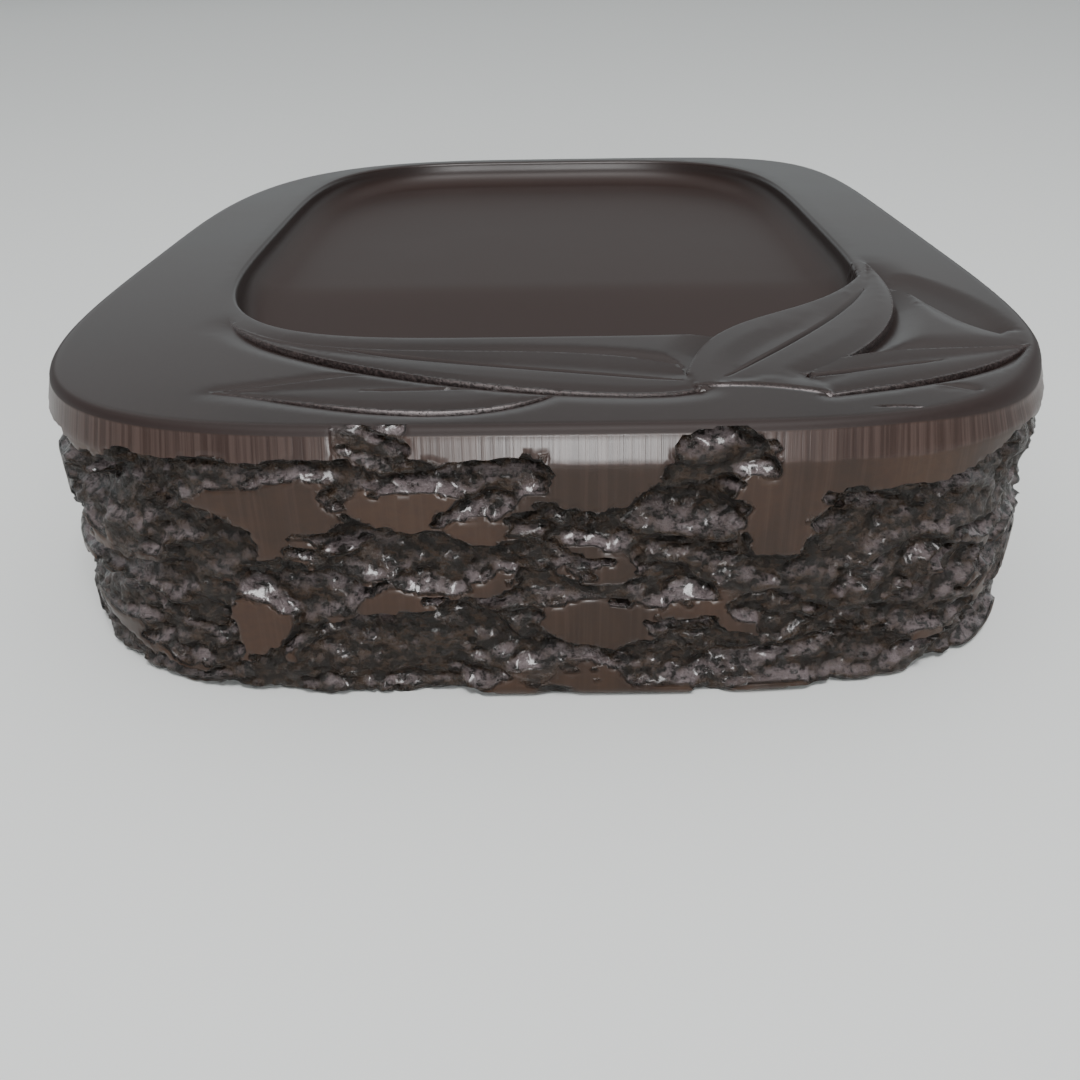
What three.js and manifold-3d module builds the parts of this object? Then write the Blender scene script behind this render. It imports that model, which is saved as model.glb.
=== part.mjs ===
// Inkstone cut from one block of purple-brown slate: a polished top with a sunk pond for rubbing ink,
// a spray of bamboo leaves carved on the wide rim at the well end, and flanks left partly riven.
// Millimetres, +Z up. The origin is the middle of the base, and the carved well end faces -Y.
import * as THREE from 'three';
import { mergeVertices } from 'three/addons/utils/BufferGeometryUtils.js';
import Module from 'manifold-3d';

// The block
const LENGTH = 188;
const WIDTH = 152; // halfway along the length
const HEIGHT = 41;
const EDGE_ROUND = 1.3; // radius between the polished top and the ground band below it
const BAND_HEIGHT = 5; // ground band that runs all the way round under the edge
const BAND_BEVEL = 1; // how far the band draws in from its foot to the edge
const TAPER = 0.03; // share by which the near end is wider, and the far end narrower, than the middle
const LEAN = 0.5; // how far the flank draws in from the band down to its foot
const FOOT_CHAMFER = 1.5; // broken edge round the flat base
const RIVEN_DEPTH = 2.6; // deepest hollow that the riven rock leaves in the flank

// The pond: a shallow land for rubbing, which slopes down to the well at its near end
const FRONT_RIM = 36;
const BACK_RIM = 6.2;
const LEFT_RIM = 20.5;
const RIGHT_RIM = 19.7;
const LAND_DEPTH = 5.5;
const WELL_DEPTH = 10.5;
const WELL_LENGTH = 16; // flat bottom of the well, from the pond's near edge
const SLOPE_LENGTH = 32; // from the well's flat bottom up to the land
const WALL_RUN = 5; // how far the curved wall reaches in over the floor
const LIP = 1; // eased edge between the rim and the wall

// The carving
const WALL = 0.4; // run of the steep side of the cut along a leaf's edge
const RIB_DEPTH = 0.7;
const RIB_WIDTH = 1.2;
const STEM_DEPTH = 0.8;
const STEM_WIDTH = 1.5;

// How finely the curved faces are divided
const AROUND = 128;
const FLANK_ROWS = 10;
const ALONG_LEAF = 14;
const SKIM = 0.5; // cutting tools stand this far above the polished top

const TOP = HEIGHT;
const halfWidth = WIDTH / 2;
const halfLength = LENGTH / 2;

const wasm = await Module();
wasm.setup();

function toSolid(geometry) {
  geometry.deleteAttribute('normal');
  geometry.deleteAttribute('uv');
  const merged = mergeVertices(geometry, 1e-4);
  const mesh = { numProp: 3, vertProperties: merged.attributes.position.array };
  const solid = new wasm.Manifold(new wasm.Mesh({ ...mesh, triVerts: new Uint32Array(merged.index.array) }));
  if (solid.volume() > 0) return solid;
  const turnedRound = new Uint32Array(merged.index.array).reverse();
  return new wasm.Manifold(new wasm.Mesh({ ...mesh, triVerts: turnedRound }));
}

function toGeometry(solid) {
  const mesh = solid.getMesh();
  const geometry = new THREE.BufferGeometry();
  geometry.setAttribute('position', new THREE.BufferAttribute(mesh.vertProperties, 3));
  geometry.setIndex(new THREE.BufferAttribute(mesh.triVerts, 1));
  geometry.computeVertexNormals();
  return geometry;
}

// Moves each point of a geometry to where `place` puts it.
function reshape(geometry, place) {
  const position = geometry.getAttribute('position');
  const point = new THREE.Vector3();
  for (let i = 0; i < position.count; i++) {
    point.fromBufferAttribute(position, i);
    position.setXYZ(i, ...place(point));
  }
  return geometry;
}

// Distance from the middle to a rounded-rectangle outline, in the direction phi. The corner number is
// 2 for an ellipse, and the corners get squarer as it grows.
function outlineRadius(phi, halfX, halfY, corner) {
  const x = Math.abs(Math.cos(phi) / halfX) ** corner;
  const y = Math.abs(Math.sin(phi) / halfY) ** corner;
  return (x + y) ** (-1 / corner);
}

// A turned shape whose every point (phi, radius, height) goes to where `place` puts it.
function turned(profile, place) {
  const points = profile.map(([radius, height]) => new THREE.Vector2(radius, height));
  const geometry = new THREE.LatheGeometry(points, AROUND).rotateX(Math.PI / 2);
  const placePoint = (p) => place(Math.atan2(p.y, p.x), Math.hypot(p.x, p.y), p.z);
  return toSolid(reshape(geometry, placePoint));
}

// The block's corners, in turn from +X +Y round to +X -Y: the two at the back aren't a pair.
const BLOCK_CORNERS = [5.5, 3.15, 4.2, 4.1];
const POND_CORNER = 4.1;

function blockRadius(phi) {
  const quarter = Math.floor(phi / (Math.PI / 2) + 4) % 4;
  return outlineRadius(phi, halfWidth, halfLength, BLOCK_CORNERS[quarter]);
}

// Depth of the riven rock in the flank. Level bands of hollows, broken along their length, fade out
// at the ground band above.
function rivenDepth(phi, z) {
  const bedding = Math.sin(z * 0.55 + 2 * Math.sin(3 * phi) + 0.8 * Math.sin(11 * phi));
  const breaks = Math.sin(13 * phi + 1.7 * Math.sin(5 * phi) + z * 0.16);
  const below = THREE.MathUtils.smoothstep(TOP - BAND_HEIGHT - z, 0, BAND_HEIGHT);
  const above = THREE.MathUtils.smoothstep(z, 0, FOOT_CHAMFER);
  return RIVEN_DEPTH * below * above * Math.max(0, 0.45 + 0.35 * bedding + 0.3 * breaks);
}

function block() {
  const bandFoot = TOP - BAND_HEIGHT;
  const profile = [[0, 0], [halfWidth - LEAN - FOOT_CHAMFER, 0]];
  for (let row = 0; row <= FLANK_ROWS; row++) {
    const z = FOOT_CHAMFER + ((bandFoot - FOOT_CHAMFER) * row) / FLANK_ROWS;
    profile.push([halfWidth - LEAN * (1 - z / bandFoot), z]);
  }
  for (const degrees of [0, 30, 60, 90]) {
    const turn = THREE.MathUtils.degToRad(degrees);
    const inset = BAND_BEVEL + EDGE_ROUND * (1 - Math.cos(turn));
    profile.push([halfWidth - inset, TOP - EDGE_ROUND * (1 - Math.sin(turn))]);
  }
  profile.push([0, TOP]);
  return turned(profile, (phi, radius, z) => {
    if (radius < 1) return [0, 0, z];
    const r = blockRadius(phi) - (halfWidth - radius) - rivenDepth(phi, z);
    const y = r * Math.sin(phi);
    return [r * Math.cos(phi) * (1 - (TAPER * y) / halfLength), y, z];
  });
}

// The pond's place in the top
const pond = {
  x: (LEFT_RIM - RIGHT_RIM) / 2,
  y: (FRONT_RIM - BACK_RIM) / 2,
  halfX: (WIDTH - LEFT_RIM - RIGHT_RIM) / 2,
  halfY: (LENGTH - FRONT_RIM - BACK_RIM) / 2,
};

function pondDepth(y) {
  const fromNearEdge = y - (pond.y - pond.halfY);
  const rise = THREE.MathUtils.smoothstep(fromNearEdge, WELL_LENGTH, WELL_LENGTH + SLOPE_LENGTH);
  return WELL_DEPTH + (LAND_DEPTH - WELL_DEPTH) * rise;
}

// The pond's hollow. Heights below zero are shares of the depth found there, and heights above zero
// are millimetres over the polished top.
function pondTool() {
  const floorReach = pond.halfX - WALL_RUN;
  const profile = [0, 0.15, 0.35, 0.55, 0.75, 0.9].map((share) => [floorReach * share, -1]);
  for (const degrees of [0, 25, 48, 68]) {
    const turn = THREE.MathUtils.degToRad(degrees);
    profile.push([floorReach + WALL_RUN * Math.sin(turn), -Math.cos(turn)]);
  }
  profile.push([pond.halfX, -0.2], [pond.halfX + LIP + SKIM, SKIM], [0, SKIM]);
  return turned(profile, (phi, radius, level) => {
    const r = (radius / pond.halfX) * outlineRadius(phi, pond.halfX, pond.halfY, POND_CORNER);
    const x = pond.x + r * Math.cos(phi);
    const y = pond.y + r * Math.sin(phi);
    return [x, y, TOP + (level < 0 ? level * pondDepth(y) : level)];
  });
}

// A curve on the rim from four control points, each [across, up]. Across is -1 to 1 over the top's
// width, and up is 0 at the top's near edge and 1 at the pond's.
function rimCurve(points) {
  const place = ([across, up]) => {
    const x = across * (halfWidth - BAND_BEVEL);
    return new THREE.Vector2(x, up * (FRONT_RIM - BAND_BEVEL) + BAND_BEVEL - halfLength);
  };
  return new THREE.CubicBezierCurve(...points.map(place));
}

// The leaves' edges. Each runs with its leaf on the left, where the cut has a steep wall, and with a
// long gentle bank on the right.
const LEAF_EDGES = {
  long: { edge: [[-0.66, 1.23], [-0.58, 0.75], [0.1, 0.15], [0.27, 0.36]], depth: 1.2, bank: 4 },
  low: { edge: [[-0.59, 0.37], [-0.38, 0.28], [-0.15, -0.03], [0.03, 0.37]], depth: 1, bank: 3 },
  broad: { edge: [[0.48, 0.52], [0.7, 0.88], [0.82, 1.51], [0.78, 2.12]], depth: 1.8, bank: 5 },
  side: { edge: [[0.5, 0.3], [0.66, 0.42], [0.81, 0.5], [0.93, 0.8]], depth: 1.3, bank: 3 },
  far: { edge: [[0.79, 1.73], [0.85, 1.46], [0.84, 1.19], [0.9, 0.97]], depth: 0.8, bank: 3 },
  sideTop: { edge: [[0.94, 0.82], [0.79, 0.76], [0.58, 0.86], [0.48, 0.52]], depth: 0.7, bank: 4 },
};

// The broad leaf stands at full height and covers a corner of the pond.
const BROAD_LEAF = {
  left: [[0.24, 0.37], [0.33, 1.51], [0.58, 1.06], [0.78, 2.12]],
  right: [[0.78, 2.12], [0.82, 1.51], [0.7, 0.88], [0.48, 0.52]],
};

const RIBS = [
  [[-0.4, 0.86], [-0.19, 0.68], [0.03, 0.58], [0.25, 0.45]],
  [[-0.32, 0.39], [-0.22, 0.39], [-0.13, 0.4], [-0.04, 0.43]],
  [[0.33, 0.5], [0.48, 0.87], [0.62, 1.24], [0.72, 1.66]],
  [[0.45, 0.45], [0.54, 0.54], [0.64, 0.59], [0.74, 0.65]],
];

const STEM = [[0.27, 0.39], [0.36, 0.4], [0.42, 0.39], [0.51, 0.27]];

// A straight prism with this section, bent so that each [across, height] of it at a share t of its
// length goes to where `place` puts it.
function bentPrism(section, place) {
  const outline = new THREE.Shape(section.map(([across, height]) => new THREE.Vector2(across, height)));
  const options = { depth: 1, steps: ALONG_LEAF, bevelEnabled: false };
  const geometry = new THREE.ExtrudeGeometry(outline, options);
  return toSolid(reshape(geometry, (p) => place(p.x, p.y, p.z)));
}

// Heights of a tool's section: 1 stands over the polished top, 0 just clears it, -1 is the full depth.
const toolHeight = (height, depth) => TOP + (height < 0 ? height * depth : SKIM * (0.1 + height));

// The cut along a leaf's edge, fading out at both ends.
function edgeTool({ edge, depth, bank }) {
  const curve = rimCurve(edge);
  return bentPrism([[WALL, 0], [0, -1], [-bank, 0], [-bank, 1], [WALL, 1]], (across, height, t) => {
    const at = curve.getPoint(t);
    const along = curve.getTangent(t);
    const swell = 0.2 + 0.8 * Math.sin(Math.PI * t);
    const side = across * (across > 0 ? 1 : swell);
    return [at.x - side * along.y, at.y + side * along.x, toolHeight(height, depth * swell)];
  });
}

// A groove with a V section along a curve, fading out at both ends.
function grooveTool(points, width, depth) {
  const curve = rimCurve(points);
  return bentPrism([[0, -1], [0.5, 0], [-0.5, 0]], (across, height, t) => {
    const at = curve.getPoint(t);
    const along = curve.getTangent(t);
    const swell = 0.25 + 0.75 * Math.sin(Math.PI * t);
    const side = across * width * swell;
    return [at.x - side * along.y, at.y + side * along.x, toolHeight(height, depth * swell)];
  });
}

function broadLeaf() {
  const outline = new THREE.Shape([
    ...rimCurve(BROAD_LEAF.left).getPoints(ALONG_LEAF),
    ...rimCurve(BROAD_LEAF.right).getPoints(ALONG_LEAF).slice(1),
  ]);
  const height = HEIGHT + 2 * SKIM;
  return toSolid(new THREE.ExtrudeGeometry(outline, { depth: height, bevelEnabled: false }));
}

function inkstone() {
  let stone = block().subtract(pondTool().subtract(broadLeaf()));
  for (const cut of Object.values(LEAF_EDGES)) stone = stone.subtract(edgeTool(cut));
  for (const rib of RIBS) stone = stone.subtract(grooveTool(rib, RIB_WIDTH, RIB_DEPTH));
  stone = stone.subtract(grooveTool(STEM, STEM_WIDTH, STEM_DEPTH));
  return toGeometry(stone);
}

const slate = new THREE.MeshStandardMaterial({ color: 0x36282a, roughness: 0.35, metalness: 0 });
const stone = new THREE.Mesh(inkstone(), slate);
stone.name = 'inkstone';

const part = new THREE.Group();
part.add(stone);

export default part;
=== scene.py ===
# Inkstone cut from one slate block: polished top with a pond, carved bamboo leaves, riven flanks.
# Lengths are millimetres until a mesh is written, and meshes are in metres.
import math

import bpy
import numpy as np
from mathutils import Matrix, Vector
from mathutils.geometry import delaunay_2d_cdt
from mathutils.kdtree import KDTree


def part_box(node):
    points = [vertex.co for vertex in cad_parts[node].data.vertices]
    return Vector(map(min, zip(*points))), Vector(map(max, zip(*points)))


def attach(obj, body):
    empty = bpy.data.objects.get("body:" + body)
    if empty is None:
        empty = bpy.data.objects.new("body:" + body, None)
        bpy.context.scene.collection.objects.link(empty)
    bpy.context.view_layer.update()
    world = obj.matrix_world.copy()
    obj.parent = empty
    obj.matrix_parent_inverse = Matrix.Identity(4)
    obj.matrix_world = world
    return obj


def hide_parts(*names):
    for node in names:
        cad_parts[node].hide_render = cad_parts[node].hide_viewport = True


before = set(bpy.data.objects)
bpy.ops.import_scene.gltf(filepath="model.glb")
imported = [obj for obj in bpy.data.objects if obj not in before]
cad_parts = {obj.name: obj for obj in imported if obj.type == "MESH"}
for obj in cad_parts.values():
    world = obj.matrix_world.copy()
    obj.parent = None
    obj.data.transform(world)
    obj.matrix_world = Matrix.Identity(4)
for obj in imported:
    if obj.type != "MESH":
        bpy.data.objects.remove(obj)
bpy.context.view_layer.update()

MM = 0.001
STONE_NODE = "inkstone"

# The block, from the CAD model
node_low, node_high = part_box(STONE_NODE)
HALF_WIDTH = 76.0  # halfway along: the taper makes the near end wider
HALF_LENGTH = (node_high.y - node_low.y) / 2 / MM
TOP = node_high.z / MM

# The outline's corner numbers, in turn from +X +Y round to +X -Y. Bigger is squarer.
BLOCK_CORNERS = np.array([5.5, 3.15, 4.2, 4.1])
POND_CORNER = 4.1
EDGE_ROUND = 1.3
WORN_EDGE_ROUND = 3.0  # at the near right corner
LEAN = 0.5
BAND_BEVEL = 1.0  # how far the ground band draws in towards the top edge
BAND_HEIGHT = 5.0
TAPER = 0.03  # how much wider the near half is than the middle, and how much narrower the far half is

# The pond
FRONT_RIM = 36.0
BACK_RIM = 6.2
LEFT_RIM = 20.5
RIGHT_RIM = 19.7
LAND_DEPTH = 5.5
WELL_DEPTH = 10.5
WELL_LENGTH = 16.0
SLOPE_LENGTH = 32.0
WALL_RUN = 5.0
LEAF_WALL_RUN = 3.2
LIP_ROUND = 0.8
WALL_CURVE = 2.2  # 2 is a quarter of an ellipse, and more is squarer

POND_X = (LEFT_RIM - RIGHT_RIM) / 2
POND_Y = (FRONT_RIM - BACK_RIM) / 2
POND_HALF_X = HALF_WIDTH - (LEFT_RIM + RIGHT_RIM) / 2
POND_HALF_Y = HALF_LENGTH - (FRONT_RIM + BACK_RIM) / 2

# How fine the mesh is
COLUMNS = 960
FLANK_ROWS = 58
ROUND_TURNS = np.radians([15, 30, 45, 60, 75, 90])


# ---------------------------------------------------------------- numbers

def smoothstep(low, high, x):
    t = np.clip((x - low) / (high - low), 0, 1)
    return t * t * (3 - 2 * t)


def cell_value(cell, seed):
    """An even random number from 0 to 1 for each cell of a grid of cubes."""
    h = cell[..., 0] * 374761393 + cell[..., 1] * 668265263 + cell[..., 2] * 915488749 + seed * 1274126177
    h &= 0xFFFFFFFF
    h = ((h ^ (h >> 13)) * 1274126177) & 0xFFFFFFFF
    return ((h ^ (h >> 16)) & 0xFFFFFF) / 0xFFFFFF


def noise(points, seed):
    """Smooth noise from -1 to 1 with a grain of one unit."""
    cell = np.floor(points).astype(np.int64)
    t = points - cell
    t = t ** 3 * (t * (t * 6 - 15) + 10)
    total = 0
    for corner in np.ndindex(2, 2, 2):
        share = np.prod(np.where(corner, t, 1 - t), axis=-1)
        total = total + share * cell_value(cell + np.array(corner), seed)
    return 2 * total - 1


TURN = np.array(Matrix.Rotation(0.9, 3, Vector((1, 2, 3)).normalized()))


def layered_noise(points, seed, layers, gain=0.5):
    total, size, reach = 0, 1.0, 0.0
    for layer in range(layers):
        total = total + size * noise(points, seed + layer)
        reach += size
        size *= gain
        points = points @ TURN.T * 2.03 + 7.1
    return total / reach


# ---------------------------------------------------------------- outlines and curves

def outline_radius(phi, half_x, half_y, corner):
    x = np.abs(np.cos(phi) / half_x) ** corner
    y = np.abs(np.sin(phi) / half_y) ** corner
    return (x + y) ** (-1 / corner)


def block_outline():
    """Points round the block's top outline, their outward normals, how far along each is, and its length.

    The points are closest together at the near side.
    """
    phi = np.linspace(0, 2 * math.pi, 8 * COLUMNS + 1)
    quarter = np.minimum((phi / (math.pi / 2)).astype(int), 3)
    radius = outline_radius(phi, HALF_WIDTH, HALF_LENGTH, BLOCK_CORNERS[quarter])
    across, up = radius * np.cos(phi), radius * np.sin(phi)
    dense = np.stack([across * (1 - TAPER * up / HALF_LENGTH), up], axis=1)
    steps = np.linalg.norm(np.diff(dense, axis=0), axis=1)
    length = np.concatenate([[0], np.cumsum(steps)])
    share = np.concatenate([[0], np.cumsum(steps * (1 + 0.7 * smoothstep(0, -60, dense[1:, 1])))])
    along = np.interp(np.arange(COLUMNS) * share[-1] / COLUMNS, share, length)
    points = np.stack([np.interp(along, length, dense[:, axis]) for axis in (0, 1)], axis=1)
    ahead = np.roll(points, -1, axis=0) - np.roll(points, 1, axis=0)
    normals = np.stack([ahead[:, 1], -ahead[:, 0]], axis=1)
    normals /= np.linalg.norm(normals, axis=1)[:, None]
    return points, normals, along, length[-1]


def rim_curve(controls, steps=100):
    """A cubic curve from four [across, up] points: across is -1 to 1 over the top's width, and up
    is 0 at the top's near edge and 1 at the pond's."""
    across = HALF_WIDTH - BAND_BEVEL
    p = np.array(controls) * [across, FRONT_RIM - BAND_BEVEL] + [0, BAND_BEVEL - HALF_LENGTH]
    t = np.linspace(0, 1, steps + 1)[:, None]
    return (1 - t) ** 3 * p[0] + 3 * (1 - t) ** 2 * t * p[1] + 3 * (1 - t) * t ** 2 * p[2] + t ** 3 * p[3]


def beside(points, line, reach=9.0):
    """How far each point lies to the left of a line, and the share of the line it is nearest to."""
    side = np.full(len(points), 99.0)
    share = np.zeros(len(points))
    low, high = line.min(axis=0) - reach, line.max(axis=0) + reach
    near = np.flatnonzero(np.all((points > low) & (points < high), axis=1))
    start, along = line[:-1], np.diff(line, axis=0)
    squared = (along ** 2).sum(axis=1)
    for chunk in np.array_split(near, max(1, len(near) // 4000)):
        offset = points[chunk, None, :] - start
        t = np.clip((offset * along).sum(axis=2) / squared, 0, 1)
        offset -= t[..., None] * along
        distance = np.sqrt((offset ** 2).sum(axis=2))
        k = distance.argmin(axis=1)
        rows = np.arange(len(chunk))
        turn = along[k, 0] * offset[rows, k, 1] - along[k, 1] * offset[rows, k, 0]
        side[chunk] = distance[rows, k] * np.where(turn < 0, -1, 1)
        share[chunk] = (k + t[rows, k]) / len(along)
    return side, share


def inside(points, loop):
    """Whether each point lies inside a closed loop."""
    result = np.zeros(len(points), bool)
    x, y = points[:, 0], points[:, 1]
    for (x0, y0), (x1, y1) in zip(loop, np.roll(loop, -1, axis=0)):
        crosses = (y0 > y) != (y1 > y)
        with np.errstate(divide="ignore", invalid="ignore"):
            result ^= crosses & (x < (x1 - x0) * (y - y0) / (y1 - y0) + x0)
    return result


# ---------------------------------------------------------------- the carving

LEAVES = {
    "long": {
        "upper": [[-0.66, 1.23], [-0.44, 0.61], [-0.02, 1], [0.25, 0.63]],
        "lower": [[-0.66, 1.23], [-0.58, 0.75], [0.1, 0.15], [0.27, 0.36]],
        "rib": [[-0.4, 0.86], [-0.19, 0.68], [0.03, 0.58], [0.25, 0.45]],
    },
    "low": {
        "upper": [[-0.59, 0.39], [-0.45, 0.45], [-0.3, 0.67], [-0.15, 0.54]],
        "lower": [[-0.59, 0.37], [-0.38, 0.28], [-0.15, -0.03], [0.03, 0.37]],
        "rib": [[-0.32, 0.39], [-0.22, 0.39], [-0.13, 0.4], [-0.04, 0.43]],
    },
    "broad": {
        "upper": [[0.24, 0.37], [0.33, 1.51], [0.58, 1.06], [0.78, 2.12]],
        "lower": [[0.48, 0.52], [0.7, 0.88], [0.82, 1.51], [0.78, 2.12]],
        "rib": [[0.33, 0.5], [0.48, 0.87], [0.62, 1.24], [0.72, 1.66]],
    },
    "side": {
        "upper": [[0.48, 0.52], [0.58, 0.86], [0.79, 0.76], [0.94, 0.82]],
        "lower": [[0.5, 0.3], [0.66, 0.42], [0.81, 0.5], [0.93, 0.8]],
        "rib": [[0.45, 0.45], [0.54, 0.54], [0.64, 0.59], [0.74, 0.65]],
    },
    "far": {
        "upper": [[0.8, 2.07], [0.9, 1.78], [0.97, 1.4], [0.95, 1]],
        "lower": [[0.79, 1.73], [0.85, 1.46], [0.84, 1.19], [0.9, 0.97]],
    },
    "edge": {
        "upper": [[0.63, 0.35], [0.68, 0.44], [0.72, 0.33], [0.77, 0.28]],
        "lower": [[0.77, 0.28], [0.8, 0.13], [0.91, 0.48], [0.92, 0.52]],
    },
}
STEM = [[0.27, 0.39], [0.36, 0.4], [0.42, 0.39], [0.51, 0.27]]
SCRATCH = [[0.56, 0.15], [0.6, 0.16], [0.63, 0.16], [0.66, 0.1]]

# Each leaf's edges are cut with a steep wall on the leaf's side and a long bank on the other. The
# depths are even steps along the edge, and so is how much of its wall gets a painted highlight in a pale
# grain.
# The bank stops at the leaves that lie over it.
EDGE_CUTS = [
    {"leaf": "long", "edge": "lower", "depths": [0.3, 1.1, 1.35, 1.0, 0.65, 0.7], "bank": 4.5, "over": [],
     "painted_highlight": [0, 0, 0.1, 0.6, 0.5, 0.2]},
    {"leaf": "long", "edge": "upper", "depths": [0.0, 0.3, 0.3, 0.35, 0.5, 1.0], "bank": 3.5,
     "over": ["broad"]},
    {"leaf": "low", "edge": "lower", "depths": [0.2, 0.6, 0.95, 1.0, 0.9, 0.6], "bank": 3.5,
     "over": ["long"], "painted_highlight": [0.1, 0.1, 0.6, 1, 0.8, 0]},
    {"leaf": "low", "edge": "upper", "depths": [0.2, 0.3, 0.35, 0.35, 0.3], "bank": 2.5, "over": ["long"]},
    {"leaf": "broad", "edge": "lower", "depths": [0.8, 1.5, 1.9, 1.9, 1.2, 0.2], "bank": 6.0,
     "over": ["side"]},
    {"leaf": "broad", "edge": "upper", "depths": [0.5, 1.1, 0.9, 0.5, 0, 0, 0, 0], "bank": 5.0,
     "over": ["long"]},
    {"leaf": "side", "edge": "upper", "depths": [0.7, 0.8, 0.8, 0.5, 0.2], "bank": 6.0,
     "over": ["broad", "far"]},
    {"leaf": "side", "edge": "lower", "depths": [0.7, 1.1, 1.4, 1.3, 0.8], "bank": 3.5, "over": [],
     "painted_highlight": [0.7, 0.4, 0.1, 0, 0]},
    {"leaf": "far", "edge": "lower", "depths": [0.3, 0.8, 0.7, 0.2], "bank": 4.0, "over": ["broad", "side"]},
    {"leaf": "edge", "edge": "upper", "depths": [0.1, 0.35, 0.4, 0.2], "bank": 2.2, "over": ["side"]},
    {"leaf": "edge", "edge": "lower", "depths": [0.2, 0.6, 0.8, 0.7], "bank": 4.5, "over": []},
]
WALL_WIDTH = 0.42

# Depth of each leaf's face from its upper edge to its lower one, in even steps
FACES = {
    "long": [0.0, 0.12, 0.3, 0.16, 0.16, 0.34],
    "low": [0.0, 0.1, 0.26, 0.18, 0.2, 0.4],
    "broad": [0.05, 0.0, 0.35, 0.12, 0.08, 0.5],
    "side": [0.0, 0.12, 0.34, 0.2, 0.25, 0.5],
    "far": [0.0, 0.35, 0.7, 0.95, 1.15],
    "edge": [0.0, 0.1, 0.25, 0.5],
}
RIB_WIDTH = 1.1
RIB_DEPTH = 0.5
STEM_WIDTH = 1.5
STEM_DEPTH = 0.75
SCRATCH_WIDTH = 0.8
SCRATCH_DEPTH = 0.3
LEAF_EDGE_GAP = 0.04  # a leaf's own face starts this far inside its edge


def leaf_lines():
    return {leaf: {name: rim_curve(c) for name, c in parts.items()} for leaf, parts in LEAVES.items()}


def leaf_loop(line):
    return np.concatenate([line["upper"], line["lower"][::-1]])


def along(depths, share):
    return np.interp(share, np.linspace(0, 1, len(depths)), depths)


def edge_cut(points, line, cut, leaf_on_left):
    side, share = beside(points, line)
    out = -side if leaf_on_left else side
    full = along(cut["depths"], share)
    bank = full * np.clip(1 - out / cut["bank"], 0, 1) ** 1.8
    wall = full * np.clip(1 + out / WALL_WIDTH, 0, 1) ** 1.4
    steep = np.clip(1 - np.abs(out + WALL_WIDTH / 2) / WALL_WIDTH, 0, 1) * smoothstep(0.1, 0.5, full)
    return np.where(out > 0, bank, wall), steep


def groove(points, line, width, depth):
    side, share = beside(points, line)
    swell = np.sin(math.pi * np.clip(share, 0.02, 0.98)) ** 0.5
    return depth * swell * np.clip(1 - np.abs(side) / (width / 2 * swell), 0, 1)


def carve(points):
    """Depth of the carving at each point of the top, and how much of a rough tool wall it is, past 1 where a
    painted highlight is added.
    """
    lines = leaf_lines()
    within = {}
    for leaf, line in lines.items():
        to_edge = np.minimum(*[np.abs(beside(points, line[side])[0]) for side in ("upper", "lower")])
        within[leaf] = inside(points, leaf_loop(line)) & (to_edge > LEAF_EDGE_GAP)
    cut = np.zeros(len(points))
    wall = np.zeros(len(points))
    for spec in EDGE_CUTS:
        leaf_on_left = spec["edge"] == "lower"
        line = lines[spec["leaf"]][spec["edge"]]
        depth, steep = edge_cut(points, line, spec, leaf_on_left)
        # A listed painted highlight lifts the wall's value past 1, so a pale grain is painted on it.
        if "painted_highlight" in spec:
            steep *= 1 + along(spec["painted_highlight"], beside(points, line)[1])
        for leaf in spec["over"]:
            depth[within[leaf]] = 0
            steep[within[leaf]] = 0
        wall = np.maximum(wall, np.where(depth > cut, steep, 0))
        cut = np.maximum(cut, depth)
    for leaf, depths in FACES.items():
        upper = np.abs(beside(points, lines[leaf]["upper"], 30)[0])
        lower = np.abs(beside(points, lines[leaf]["lower"], 30)[0])
        face = along(depths, upper / (upper + lower + 1e-6))
        face *= smoothstep(0, 2.5, upper + lower)
        cut = np.where(within[leaf], np.maximum(cut, face), cut)
    for leaf, above in (("long", "broad"), ("low", "long"), ("broad", "side"), ("side", "broad")):
        rib = groove(points, lines[leaf]["rib"], RIB_WIDTH, RIB_DEPTH) * within[leaf] * ~within[above]
        cut = cut + rib
    stem = groove(points, rim_curve(STEM), STEM_WIDTH, STEM_DEPTH)
    scratch = groove(points, rim_curve(SCRATCH), SCRATCH_WIDTH, SCRATCH_DEPTH)
    # The walls of the stem and the scratch get the full painted highlight.
    wall = np.maximum(wall, 2 * smoothstep(0.05, 0.3, np.maximum(stem, scratch)))
    return np.maximum(cut, np.maximum(stem, scratch)), wall


# ---------------------------------------------------------------- the pond

def pond_reach(points):
    """Distance inside the pond's edge, as if the broad leaf weren't there."""
    x = np.abs(points[:, 0] - POND_X) / POND_HALF_X + 1e-9
    y = np.abs(points[:, 1] - POND_Y) / POND_HALF_Y + 1e-9
    n = POND_CORNER
    size = (x ** n + y ** n) ** (1 / n)
    slope = np.hypot(x ** (n - 1) / POND_HALF_X, y ** (n - 1) / POND_HALF_Y) * size ** (1 - n)
    return (1 - size) / slope


def pond_floor(y):
    rise = smoothstep(WELL_LENGTH, WELL_LENGTH + SLOPE_LENGTH, y - (POND_Y - POND_HALF_Y))
    return WELL_DEPTH + (LAND_DEPTH - WELL_DEPTH) * rise


def pond_depth(points):
    """Depth of the pond at each point of the top, and how far inside the pond's edge the point is."""
    lines = leaf_lines()["broad"]
    reach = pond_reach(points)
    leaf = inside(points, leaf_loop(lines))
    leaf_gap = np.abs(beside(points, lines["upper"], 12)[0]) * np.where(leaf, -1, 1)
    near = np.minimum(reach, leaf_gap)
    run = np.where(leaf_gap < reach, LEAF_WALL_RUN, WALL_RUN)
    share = 1 - (1 - np.clip(near / run, 0, 1)) ** WALL_CURVE
    share = share ** (1 / WALL_CURVE)
    lip = np.clip(near + LIP_ROUND, 0, LIP_ROUND)
    drop = LIP_ROUND - np.sqrt(LIP_ROUND ** 2 - lip ** 2)
    floor = pond_floor(points[:, 1])
    return np.where(near > 0, LIP_ROUND + (floor - LIP_ROUND) * share, drop), near


# ---------------------------------------------------------------- the riven flank

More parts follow.
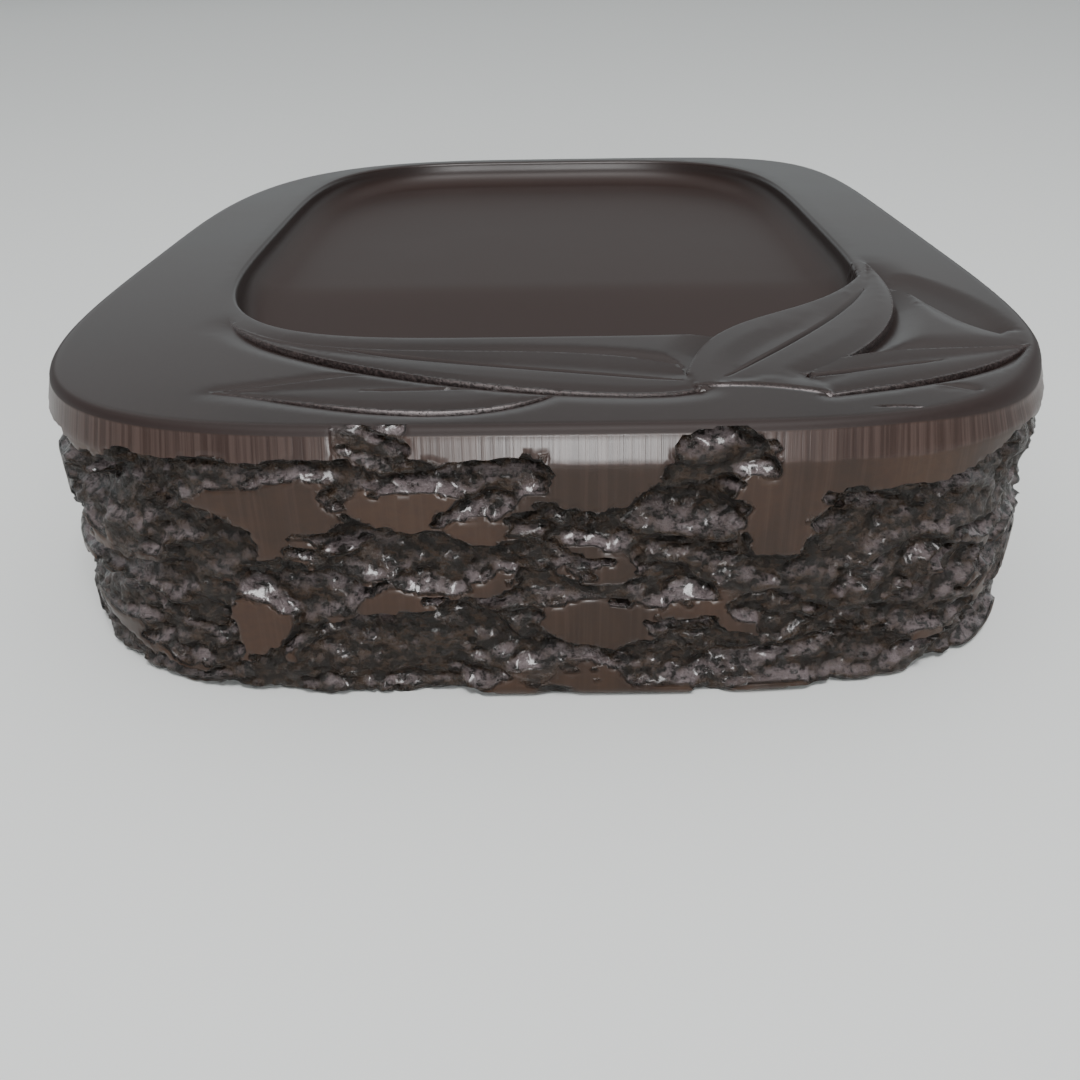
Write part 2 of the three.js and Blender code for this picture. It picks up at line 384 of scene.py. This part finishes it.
# Ground-flat places that the riven rock leaves, as [x, z, half-width, half-height] on the near flank
FLATS = [
    [-35.0, 27.0, 9.0, 6.0], [7.5, 12.3, 6.5, 3.4], [31.0, 28.5, 6.0, 6.0], [-39.5, 11.5, 3.5, 4.0],
    [-20.0, 29.5, 6.0, 2.5], [-8.0, 27.0, 5.5, 2.2], [9.0, 36.0, 6.0, 3.0], [-21.0, 15.5, 5.0, 2.0],
    [6.0, 33.5, 6.5, 3.0], [9.0, 20.5, 4.0, 1.6],
]

NEAR_SIDE = -50.0  # the near flank's columns lie beyond this Y
NEAR_RIGHT_CORNER = [66, -82]
BED_CLIMB = 10.0
DEEPEST_RIVEN = 4.8

# Places where the rock breaks into the ground band, as [x, half-width, strength] on the near flank
BAND_GAPS = [[-22.5, 6.5, 1.7], [21.5, 7.0, 1.35]]


def band_height(points):
    """Height of the ground band under the top edge, which runs deeper at the near right."""
    near_right = smoothstep(27, 33, points[:, 0]) * smoothstep(66, 54, points[:, 0]) * (points[:, 1] < 0)
    wander = layered_noise(np.stack([*points.T * 0.07, points[:, 0] * 0], axis=1), 40, 2)
    return 4.0 + 3.0 * wander + 4.5 * near_right


def chips(place_along, edge, height, total, amount, length, tall, deep, seed):
    """Flakes broken out of the flank: deep and sharp under their top edge, shallow at the foot."""
    rng = np.random.default_rng(seed)
    result = np.zeros(height.shape)
    for _ in range(amount):
        at = rng.uniform(0, total)
        level = rng.uniform(-8, TOP - 1)
        half_long = length * rng.uniform(0.55, 1.5)
        half_tall = tall * rng.uniform(0.6, 1.4)
        bite = deep * rng.uniform(0.5, 1.2)
        tilt = rng.normal(0, 0.12)
        columns = np.flatnonzero(np.abs((edge - at + total / 2) % total - total / 2) < half_long + 7)
        far = (place_along[columns] - at + total / 2) % total - total / 2
        up = (height[columns] - level - tilt * far) / half_tall
        arch = up + 0.5 * (far / half_long) ** 2
        high = np.clip((arch + 1) / 2, 0, 1)
        r = np.sqrt((far / half_long) ** 2 + up ** 2)
        edge_gap = np.clip((1 - r) / (0.55 - 0.45 * high), 0, 1)
        result[columns] = np.maximum(result[columns], bite * (0.2 + 0.8 * high) * edge_gap)
    return result


def ledges(place_along, height, total, seed):
    """Beds of slate broken back to different depths, each undercut below the bed above it."""
    rng = np.random.default_rng(seed)
    result = np.zeros(height.shape)
    low = -18.0
    bed = 0
    turn = 2 * math.pi * place_along / total
    ring = total / (2 * math.pi) * 0.06
    while low < TOP + 4:
        high = low + rng.uniform(1.8, 5.0)
        where = np.stack([ring * np.cos(turn), ring * np.sin(turn), 5.3 * bed + height * 0.05], axis=-1)
        back = smoothstep(-0.3, 0.5, layered_noise(where, seed + bed, 2)) * rng.uniform(0.7, 1.3)
        share = np.clip((height - low) / (high - low), 0, 1)
        here = smoothstep(low - 0.3, low + 0.1, height) * smoothstep(high + 0.1, high - 0.15, height)
        result = np.maximum(result, back * (0.3 + 0.7 * share) * here)
        low = high
        bed += 1
    return result


def grid_places(plan, height):
    """Each point of the grid of columns and rows on the smooth flank, as [x, y, z]."""
    columns = np.repeat(plan[:, None, :], height.shape[1], axis=1)
    return np.concatenate([columns, height[..., None]], axis=2)


def kept_ground(plan, edge, height, drift, fine):
    """How deep the rock must be broken before it shows: more in the band, the flats and the foot."""
    near_side = plan[:, 1] < NEAR_SIDE
    band = smoothstep(-0.6, 0.6, height - (TOP - band_height(plan))[:, None] + 1.6 * drift + 0.5 * fine)
    gaps = smoothstep(0.15, 0.4, layered_noise(np.stack([*plan.T * 0.08, edge * 0], axis=1), 61, 2))
    gaps *= 1 - smoothstep(45, 60, plan[:, 0]) * near_side
    for x, half_x, strength in BAND_GAPS:
        gap = smoothstep(1.1, 0.7, np.abs(plan[:, 0] - x) / half_x) * near_side
        gaps = np.maximum(gaps, strength * gap)
    foot = smoothstep(2.6, 1.0, height + 2.5 * drift)
    keep = 0.15 + (6 - 3.5 * gaps[:, None]) * band + 0.7 * foot
    for x, level, half_x, half_z in FLATS:
        r = np.hypot((plan[:, :1] - x) / half_x, (height - level) / half_z) + 0.9 * drift + 0.35 * fine
        keep += 3.8 * smoothstep(1.35, 0.5, r) * near_side[:, None]
    return keep


def without_specks(raw):
    """The same depths with lone pits closed and steps between columns eased."""
    nearby = sum(np.roll(raw, shift, axis=0) for shift in range(-4, 5)) / 9
    rows = raw.shape[1]
    nearby[:, 2:-2] = sum(nearby[:, i:rows - 4 + i] for i in range(5)) / 5
    soft = (np.roll(raw, 1, axis=0) + 2 * raw + np.roll(raw, -1, axis=0)) / 4
    return np.where(nearby < -0.5, -1, soft)


def riven_depth(plan, edge, total, height):
    """How far the riven rock lies behind the ground flank, on the grid of columns and rows."""
    place = grid_places(plan, height)
    drift = layered_noise(place * [0.08, 0.08, 0.22], 3, 3)
    lift = layered_noise(place * [0.06, 0.06, 0.1], 9, 3)
    fine = layered_noise(place * [0.22, 0.22, 0.6], 15, 3)
    tiny = layered_noise(place * [0.7, 0.7, 1.1], 19, 2)
    # The beds climb as they go round the near right corner, and fall again beyond it
    past = edge - edge[np.linalg.norm(plan - NEAR_RIGHT_CORNER, axis=1).argmin()]
    climb = BED_CLIMB * (smoothstep(-22, 22, past) - smoothstep(35, 85, past))[:, None]
    s = edge[:, None] + 5 * drift + 1.2 * fine
    z = height + 7.5 * lift + 1.5 * fine + 0.4 * tiny - climb
    depth = 2.9 * ledges(s, z, total, seed=50)
    depth = np.maximum(depth, chips(s, edge, z, total, amount=150, length=14.0, tall=4.4, deep=3.8, seed=1))
    depth = np.maximum(depth, chips(s, edge, z, total, amount=820, length=6.5, tall=1.9, deep=2.5, seed=2))
    depth += 1.3 * layered_noise(place * [0.07, 0.07, 0.16], 27, 3) - 0.2
    raw = without_specks(depth - kept_ground(plan, edge, height, drift, fine))
    crumbs = 0.6 * chips(s, edge, z, total, amount=3000, length=2.8, tall=0.85, deep=1.0, seed=3)
    crumbs += 0.25 * tiny
    crumbs += 0.2 * layered_noise(place * [1.1, 1.1, 1.9], 71, 1)
    return np.clip(raw + crumbs * smoothstep(-0.1, 0.8, raw), 0, DEEPEST_RIVEN)


# ---------------------------------------------------------------- making the mesh

def new_mesh_object(name, points, faces):
    mesh = bpy.data.meshes.new(name)
    mesh.from_pydata((points * MM).tolist(), [], faces)
    made = bpy.data.objects.new(name, mesh)
    bpy.context.collection.objects.link(made)
    return made


def only(*objects):
    bpy.ops.object.select_all(action="DESELECT")
    for o in objects:
        o.select_set(True)
    bpy.context.view_layer.objects.active = objects[0]


def write_masks(mesh, **masks):
    for name, values in masks.items():
        layer = mesh.attributes.new(name, "FLOAT", "POINT")
        layer.data.foreach_set("value", np.asarray(values, np.float32))


def flank_grid():
    """Places of the flank's points, as columns round the block and rows from its foot to its top."""
    plan, normals, along_edge, total = block_outline()
    worn = smoothstep(0.55, 0.95, plan[:, 0] / HALF_WIDTH) * (plan[:, 1] < -HALF_LENGTH * 0.3)
    rounding = EDGE_ROUND + (WORN_EDGE_ROUND - EDGE_ROUND) * worn * smoothstep(-60, -78, plan[:, 1])
    rows = np.linspace(0, 1, FLANK_ROWS)
    flank_top = TOP - rounding
    foot = np.array([0.0, 0.45, 1.0])
    height = np.concatenate([
        np.repeat(foot[None], COLUMNS, axis=0),
        1.6 + rows * (flank_top - 1.6)[:, None],
        flank_top[:, None] + rounding[:, None] * np.sin(ROUND_TURNS),
    ], axis=1)
    loose = slice(5, -len(ROUND_TURNS) - 2)
    waver = layered_noise(grid_places(plan, height)[:, loose] * 0.4, 83, 2)
    height[:, loose] += 0.55 * np.clip(waver, -0.5, 0.5)
    up_the_band = np.clip((height - TOP + BAND_HEIGHT) / (flank_top[:, None] - TOP + BAND_HEIGHT), 0, 1)
    inset = LEAN * np.clip(1 - height / (TOP - BAND_HEIGHT), 0, 1) + BAND_BEVEL * up_the_band
    inset[:, -len(ROUND_TURNS):] += rounding[:, None] * (1 - np.cos(ROUND_TURNS))
    inset[:, :3] += np.array([1.3, 0.5, 0.12])
    riven = riven_depth(plan, along_edge, total, height)
    riven[:, -len(ROUND_TURNS):] *= np.cos(ROUND_TURNS) ** 0.5 - 0.05
    riven[:, -1] = 0
    inset += riven
    places = plan[:, None, :] - normals[:, None, :] * inset[..., None]
    row_count = height.shape[1]
    round_rows = [row_count - 1 - len(ROUND_TURNS), row_count - len(ROUND_TURNS), row_count - 1]
    up_the_round = np.interp(np.arange(row_count), round_rows, [0, 0.5, 1])
    masks = {
        "riven": riven,
        # How far the riven face turns up (above 0) or down (below 0); the material uses it to paint a
        # highlight on up-turned facets and shade under the ledges.
        "facing": np.gradient(inset, axis=1) / np.gradient(height, axis=1),
        "top": np.repeat(up_the_round[None], COLUMNS, axis=0),
        "plan_x": np.repeat(plan[:, :1] * MM, row_count, axis=1),
        "plan_y": np.repeat(plan[:, 1:] * MM, row_count, axis=1),
    }
    return np.concatenate([places, height[..., None]], axis=2), masks


def rough_block(grid, masks):
    """The block from a cylinder: rows are cut round it, and its skin is brought to the grid's places."""
    rows = grid.shape[1]
    bpy.ops.mesh.primitive_cylinder_add(vertices=COLUMNS, radius=1, depth=1, location=(0, 0, 0.5))
    block = bpy.context.active_object
    block.name = "inkstone_block"
    bpy.ops.object.transform_apply(location=True)
    bpy.ops.object.mode_set(mode="EDIT")
    bpy.ops.mesh.select_mode(type="EDGE")
    bpy.ops.mesh.select_all(action="DESELECT")
    bpy.ops.object.mode_set(mode="OBJECT")
    for edge in block.data.edges:
        a, b = (block.data.vertices[i].co for i in edge.vertices)
        edge.select = abs(a.z - b.z) > 0.5
    bpy.ops.object.mode_set(mode="EDIT")
    bpy.ops.mesh.subdivide(number_cuts=rows - 2)
    bpy.ops.mesh.select_mode(type="FACE")
    bpy.ops.mesh.select_all(action="DESELECT")
    bpy.ops.object.mode_set(mode="OBJECT")
    for face in block.data.polygons:
        face.select = face.normal.z > 0.5
    bpy.ops.object.mode_set(mode="EDIT")
    bpy.ops.mesh.delete(type="ONLY_FACE")
    bpy.ops.object.mode_set(mode="OBJECT")
    co = np.empty(len(block.data.vertices) * 3, np.float32)
    block.data.vertices.foreach_get("co", co)
    co = co.reshape(-1, 3)
    column = np.rint(np.arctan2(co[:, 1], co[:, 0]) / (2 * math.pi) * COLUMNS).astype(int) % COLUMNS
    row = np.rint(co[:, 2] * (rows - 1)).astype(int)
    block.data.vertices.foreach_set("co", (grid[column, row] * MM).astype(np.float32).ravel())
    write_masks(block.data, **{name: values[column, row] for name, values in masks.items()})
    write_masks(block.data, cut=np.zeros(len(co)), pond=np.zeros(len(co)))
    return block


def rows_beside(line, offsets, step):
    """Points in rows beside a line, at each offset to its left."""
    length = np.concatenate([[0], np.cumsum(np.linalg.norm(np.diff(line, axis=0), axis=1))])
    at = np.linspace(0, length[-1], max(3, int(length[-1] / step)))
    points = np.stack([np.interp(at, length, line[:, axis]) for axis in (0, 1)], axis=1)
    ahead = np.gradient(points, axis=0)
    ahead /= np.linalg.norm(ahead, axis=1)[:, None]
    left = np.stack([-ahead[:, 1], ahead[:, 0]], axis=1)
    return [points + left * offset for offset in offsets]


def hex_grid(step, low, high):
    """Points in even rows over a rectangle, every second row shifted by half a step."""
    x = np.arange(low[0], high[0], step)
    y = np.arange(low[1], high[1], step * math.sqrt(0.75))
    grid = np.stack(np.meshgrid(x, y, indexing="ij"), axis=-1)
    grid[:, 1::2, 0] += step / 2
    return grid.reshape(-1, 2)


def edge_batches(lines):
    """Rows along the leaves' edges, closest together across the steep wall."""
    wall_rows = [0.0, -WALL_WIDTH, -WALL_WIDTH * 0.66, -WALL_WIDTH * 0.33]
    bank_rows = [0.3, 0.75, -0.75, 1.4, -1.4, 2.4]
    batches = []
    for spec in EDGE_CUTS:
        turn = -1 if spec["edge"] == "lower" else 1
        offsets = [turn * offset for offset in wall_rows + bank_rows]
        for i, row in enumerate(rows_beside(lines[spec["leaf"]][spec["edge"]], offsets, 0.42)):
            batches.append((row if i < 6 else row[::2], 0.13 if i < 4 else 0.28))
    return batches


def groove_batches(lines):
    """Rows along the ribs, the stem and the scratch."""
    grooves = [(lines[leaf]["rib"], RIB_WIDTH) for leaf in ("long", "low", "broad", "side")]
    grooves += [(rim_curve(STEM), STEM_WIDTH), (rim_curve(SCRATCH), SCRATCH_WIDTH)]
    batches = []
    for line, width in grooves:
        offsets = np.array([0, 0.17, -0.17, 0.5, -0.5, 0.8, -0.8]) * width
        batches += [(row, 0.15) for row in rows_beside(line, offsets, 0.45)]
    return batches


def pond_batches(lines):
    """Rows along the pond's rim and along the broad leaf's edge over it, closest together at the lip."""
    phi = np.linspace(0, 2 * math.pi, 2401)
    r = outline_radius(phi, POND_HALF_X, POND_HALF_Y, POND_CORNER)
    rim = np.stack([POND_X + r * np.cos(phi), POND_Y + r * np.sin(phi)], axis=1)
    rim[-1] = rim[0]
    offsets = [0, -0.05, 0.06, -0.16, 0.2, -0.35, 0.45, -0.58, 0.85, -0.8, 1.4, 2.1, 2.9, 3.8, 4.8, 6.2]
    batches = []
    for line, step in [(rim, 0.8), (lines["broad"]["upper"], 0.5)]:
        for row, offset in zip(rows_beside(line, offsets, step), offsets):
            off_by = np.abs(pond_depth(row)[1] - offset)
            batches.append((row[off_by < 0.07 + 0.03 * abs(offset)], 0.05 + 0.1 * abs(offset)))
    return batches


def open_batches(edge):
    """Rows inside the block's top edge, then a fine grid round the carving and a coarse one elsewhere."""
    edge_ring = np.concatenate([edge, edge[:1]])
    batches = []
    for i, row in enumerate(rows_beside(edge_ring[::-1], [-0.7, -1.6, -3.0], 1.0)):
        batches.append((row[:: i + 1], 0.4 + 0.3 * i))
    low, high = edge.min(axis=0), edge.max(axis=0)
    fine = hex_grid(0.95, low, high)
    carved = (fine[:, 1] < -HALF_LENGTH + FRONT_RIM + 3) | ((fine[:, 0] > 50) & (fine[:, 1] < -8))
    batches.append((fine[carved & (pond_depth(fine)[1] < 0.5)], 0.5))
    batches.append((hex_grid(2.6, low, high), 1.5))
    return batches


def top_points(edge):
    """Points over the top in batches, each with the least gap to the points that are kept before it."""
    lines = leaf_lines()
    return edge_batches(lines) + groove_batches(lines) + pond_batches(lines) + open_batches(edge)


def spread(edge, batches):
    """The edge's points and each batch's points that aren't too close to those kept before."""
    kept = [edge]
    for points, gap in batches:
        points = points[inside(points, edge)]
        if not len(points):
            continue
        so_far = np.concatenate(kept)
        tree = KDTree(len(so_far))
        for i, (x, y) in enumerate(so_far):
            tree.insert((x, y, 0), i)
        tree.balance()
        clear = np.array([tree.find((x, y, 0))[2] > gap for x, y in points])
        kept.append(points[clear])
    return np.concatenate(kept)


def carved_top(edge):
    """The polished top with the pond and the leaves, out to the block's top edge."""
    points = spread(edge, top_points(edge))
    ring = [(i, (i + 1) % len(edge)) for i in range(len(edge))]
    verts, _, faces, *_ = delaunay_2d_cdt([Vector(p) for p in points], ring, [], 1, 1e-5)
    plan = np.array([tuple(v) for v in verts])
    sunk, near = pond_depth(plan)
    cut, wall = carve(plan)
    outer = pond_reach(plan) > 0
    depth = np.where(near > -LIP_ROUND, np.maximum(sunk, np.where(outer & (near > 0), 0, cut)), cut)
    depth *= inside_margin(plan, edge)
    places = np.concatenate([plan, (TOP - depth)[:, None]], axis=1)
    top = new_mesh_object("inkstone_top", places, faces)
    nothing = np.zeros(len(plan))
    write_masks(top.data, riven=nothing, facing=nothing, top=nothing + 1)
    write_masks(top.data, cut=wall, pond=smoothstep(-0.3, 1.0, near))
    write_masks(top.data, plan_x=plan[:, 0] * MM, plan_y=plan[:, 1] * MM)
    return top


def inside_margin(plan, edge):
    """0 on the block's top edge and 1 from a little way in."""
    ring = np.concatenate([edge, edge[:1]])
    return smoothstep(0.0, 1.2, np.abs(beside(plan, ring, 200)[0]))


def make_stone():
    grid, masks = flank_grid()
    block = rough_block(grid, masks)
    top = carved_top(grid[:, -1, :2])
    only(block, top)
    bpy.ops.object.join()
    bpy.ops.object.mode_set(mode="EDIT")
    bpy.ops.mesh.select_all(action="SELECT")
    bpy.ops.mesh.remove_doubles(threshold=1e-6)
    bpy.ops.mesh.quads_convert_to_tris(quad_method="SHORTEST_DIAGONAL")
    bpy.ops.mesh.normals_make_consistent(inside=False)
    bpy.ops.object.mode_set(mode="OBJECT")
    bpy.ops.object.shade_smooth_by_angle(angle=math.radians(50))
    block.name = "carved_stone"
    return block


# ---------------------------------------------------------------- materials

class Signal:
    """A shader socket. Arithmetic on it adds Math nodes."""

    def __init__(self, board, socket):
        self.board = board
        self.socket = socket

    def math(self, operation, first, second=0.0):
        return self.board.add("ShaderNodeMath", {"operation": operation}, {0: first, 1: second})

    def __add__(self, other):
        return self.math("ADD", self, other)

    def __radd__(self, other):
        return self.math("ADD", other, self)

    def __sub__(self, other):
        return self.math("SUBTRACT", self, other)

    def __rsub__(self, other):
        return self.math("SUBTRACT", other, self)

    def __mul__(self, other):
        return self.math("MULTIPLY", self, other)

    def __rmul__(self, other):
        return self.math("MULTIPLY", other, self)

    def between(self, low, high):
        """0 below low, 1 above high, with a smooth rise."""
        inputs = {"Value": self, "From Min": low, "From Max": high}
        return self.board.add("ShaderNodeMapRange", {"interpolation_type": "SMOOTHSTEP"}, inputs)


class Board:
    """A material's node tree."""

    def __init__(self, name):
        self.material = bpy.data.materials.new(name)
        self.material.use_nodes = True
        self.tree = self.material.node_tree
        self.shader = self.tree.nodes["Principled BSDF"]

    def add(self, kind, settings=None, inputs=None, output=0):
        node = self.tree.nodes.new(kind)
        for name, value in (settings or {}).items():
            setattr(node, name, value)
        for name, value in (inputs or {}).items():
            self.feed(node.inputs[name], value)
        return Signal(self, node.outputs[output])

    def feed(self, socket, value):
        if isinstance(value, Signal):
            self.tree.links.new(value.socket, socket)
        else:
            socket.default_value = value

    def mask(self, name):
        return self.add("ShaderNodeAttribute", {"attribute_name": name}, output="Fac")

    def place(self, scale):
        """Object coordinates in metres, stretched by scale."""
        where = self.add("ShaderNodeTexCoord", output="Object")
        return self.add("ShaderNodeMapping", {}, {"Vector": where, "Scale": scale})

    def grain(self, scale, detail=4.0, roughness=0.55, where=None):
        where = where or self.place(scale)
        inputs = {"Vector": where, "Scale": 1.0, "Detail": detail, "Roughness": roughness}
        return self.add("ShaderNodeTexNoise", {}, inputs, output="Fac")

    def down_the_flank(self, scale):
        """A place that changes only across and down the flank, not with how deep it is."""
        across = {"X": self.mask("plan_x"), "Y": self.mask("plan_y"), "Z": self.height()}
        where = self.add("ShaderNodeCombineXYZ", {}, across)
        return self.add("ShaderNodeMapping", {}, {"Vector": where, "Scale": scale})

    def height(self):
        where = self.add("ShaderNodeTexCoord", output="Object")
        return self.add("ShaderNodeSeparateXYZ", {}, {0: where}, output="Z")

    def mix(self, share, first, second):
        settings = {"data_type": "RGBA"}
        return self.add("ShaderNodeMix", settings, {0: share, 6: first, 7: second}, output=2)

    def bump(self, height, distance, below=None):
        inputs = {"Height": height, "Distance": distance, "Strength": 1.0}
        if below:
            inputs["Normal"] = below
        return self.add("ShaderNodeBump", {}, inputs, output="Normal")

    def finish(self, **inputs):
        for name, value in inputs.items():
            self.feed(self.shader.inputs[name.replace("_", " ")], value)
        return self.material


def slate():
    """Reddish-brown slate: satin where polished, scratched where ground, wet-looking where riven, with
    painted highlights on up-facing riven facets and some tool walls, and painted shade under the riven
    ledges.
    """
    b = Board("brown_slate")
    riven = b.mask("riven").between(0.02, 0.5)
    up_facing = b.mask("facing").between(0.1, 1.3)
    under = b.mask("facing").between(0.0, -1.0)
    polished = b.mask("top").between(0.0, 0.5)
    rounded = b.mask("top").between(1.0, 0.8) * polished
    cut = b.mask("cut").between(0.0, 1.0)
    painted_highlight = b.mask("cut").between(1.0, 1.9)
    pond = b.mask("pond")
    scratch = b.grain(None, 3, 0.65, b.down_the_flank((1500, 1500, 18)))
    wander = b.grain((90, 90, 40), 3)
    band = (b.height() + wander * 0.002).between(0.0366, 0.0371) * (1 - polished) * (1 - riven)
    cloud = b.grain((28, 28, 28), 3)
    speck = b.grain((1500, 1500, 1500), 2)
    crumb = b.grain((620, 620, 950), 5, 0.66)
    grit = b.grain((2300, 2300, 2300), 3, 0.7)

    stone = b.mix(cloud.between(0.35, 0.65), (0.0135, 0.0065, 0.0052, 1), (0.0175, 0.009, 0.0075, 1))
    stone = b.mix(speck.between(0.5, 0.75) * (1 - pond) * 0.1, stone, (0.05, 0.04, 0.037, 1))
    stone = b.mix(pond * 0.7, stone, (0.021, 0.0082, 0.0055, 1))
    stone = b.mix(rounded * 0.8, stone, (0.012, 0.0045, 0.0035, 1))
    flat = b.mix(wander.between(0.35, 0.65), (0.018, 0.0072, 0.0028, 1), (0.034, 0.0145, 0.006, 1))
    flat = b.mix(crumb.between(0.35, 0.7) * 0.35, flat, (0.012, 0.0055, 0.0035, 1))
    flat = b.mix(scratch.between(0.45, 0.7) * 0.22, flat, (0.055, 0.032, 0.022, 1))
    streaks = b.mix(scratch.between(0.38, 0.62), (0.022, 0.0095, 0.007, 1), (0.05, 0.03, 0.025, 1))
    rock = b.mix(crumb.between(0.38, 0.66), (0.0045, 0.0026, 0.0014, 1), (0.032, 0.018, 0.01, 1))
    # Painted highlight: riven facets that face up are painted a pale lilac grey on the crumb's raised
    # grains.
    rock = b.mix(up_facing * crumb.between(0.36, 0.56) * 0.8, rock, (0.15, 0.12, 0.124, 1))
    # Painted shade: riven faces that turn down under a ledge are painted near-black.
    rock = b.mix(under * 0.7, rock, (0.003, 0.002, 0.0012, 1))
    tooled = b.mix(grit.between(0.4, 0.65), (0.009, 0.005, 0.0045, 1), (0.07, 0.05, 0.048, 1))

    colour = b.mix(polished, flat, stone)
    colour = b.mix(band * 0.8, colour, streaks)
    colour = b.mix(riven, colour, rock)
    colour = b.mix(cut * 0.7, colour, tooled)
    # Painted highlight: a pale grain on tool walls that catch the light, along some leaves' lower edges, the
    # stem and the scratch.
    colour = b.mix(painted_highlight * grit.between(0.3, 0.5) * 0.8, colour, (0.34, 0.3, 0.3, 1))

    gloss = polished * (0.3 + 0.06 * cloud + 0.18 * pond + 0.25 * rounded)
    gloss = gloss + (1 - polished) * (0.26 + 0.12 * wander)
    gloss = gloss * (1 - riven) + riven * (0.08 + 0.18 * crumb + 0.25 * under)
    gloss = gloss * (1 - cut) + 0.42 * cut

    coarse = b.bump(crumb * riven, 0.0011)
    lines = b.bump(scratch * (0.1 + band) * (1 - riven) * (1 - polished), 0.00004, coarse)
    fine = b.bump(grit * (riven * 0.9 + cut * 0.5 + 0.006), 0.00028, lines)
    b.shader.inputs["Specular IOR Level"].default_value = 0.38
    b.shader.inputs["Coat Roughness"].default_value = 0.15
    return b.finish(Base_Color=colour, Roughness=gloss, Normal=fine, Coat_Weight=riven * up_facing * 0.6)


def plain(name, colour, roughness):
    return Board(name).finish(Base_Color=(*colour, 1), Roughness=roughness)


# ---------------------------------------------------------------- studio

def floor():
    """A wide pale floor under the stone."""
    bpy.ops.object.select_all(action="DESELECT")
    bpy.ops.mesh.primitive_plane_add(size=30, location=(0, 0, 0))
    made = bpy.context.active_object
    made.name = "studio_floor"
    made.data.materials.append(plain("pale_paper", (0.74, 0.75, 0.74), 0.9))


def soft_light(name, at, target, size, power):
    bpy.ops.object.light_add(type="AREA", location=at)
    lamp = bpy.context.active_object
    lamp.name = name
    lamp.data.shape = "RECTANGLE"
    lamp.data.size, lamp.data.size_y = size
    lamp.data.energy = power
    lamp.rotation_euler = (Vector(target) - Vector(at)).to_track_quat("-Z", "Y").to_euler()


def pale_room():
    """A room that is pale near the horizon and darker overhead."""
    world = bpy.data.worlds.new("pale_room")
    world.use_nodes = True
    nodes, links = world.node_tree.nodes, world.node_tree.links
    direction = nodes.new("ShaderNodeTexCoord")
    parts = nodes.new("ShaderNodeSeparateXYZ")
    fade = nodes.new("ShaderNodeMapRange")
    fade.interpolation_type = "SMOOTHSTEP"
    for name, value in {"From Min": 0.16, "From Max": 0.55, "To Min": 0.85, "To Max": 0.14}.items():
        fade.inputs[name].default_value = value
    links.new(direction.outputs["Generated"], parts.inputs[0])
    links.new(parts.outputs["Z"], fade.inputs["Value"])
    links.new(fade.outputs[0], nodes["Background"].inputs["Strength"])
    nodes["Background"].inputs["Color"].default_value = (0.9, 0.98, 1, 1)
    bpy.context.scene.world = world


def lights():
    pale_room()
    soft_light("ceiling_panel", (0, 0.9, 2.4), (0, 0.9, 0), (5, 4.4), 68)
    soft_light("lamp_above", (0.05, -0.45, 0.75), (0, -0.05, 0.02), (0.24, 0.24), 5.5)
    soft_light("lamp_near", (0.05, -0.95, 0.16), (0, -0.09, 0.03), (0.14, 0.1), 4.6)


CAMERA_PLACE = (0.0001, -0.2153, 0.0931)  # metres
LOOKS_DOWN, LOOKS_LEFT, TILTS = 29.05, 0.5, -0.9  # degrees


def camera():
    data = bpy.data.cameras.new("camera")
    data.lens = 36
    data.sensor_width = 36
    data.clip_start = 0.01
    made = bpy.data.objects.new("camera", data)
    bpy.context.collection.objects.link(made)
    turn = Matrix.Rotation(math.radians(LOOKS_LEFT), 4, "Z")
    turn = turn @ Matrix.Rotation(math.radians(90 - LOOKS_DOWN), 4, "X")
    turn = turn @ Matrix.Rotation(math.radians(TILTS), 4, "Z")
    made.matrix_world = Matrix.Translation(CAMERA_PLACE) @ turn
    bpy.context.scene.camera = made


def main():
    bpy.ops.object.select_all(action="DESELECT")
    stone = make_stone()
    stone.data.materials.clear()
    stone.data.materials.append(slate())
    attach(stone, "root")
    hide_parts(STONE_NODE)
    floor()
    lights()
    camera()


main()
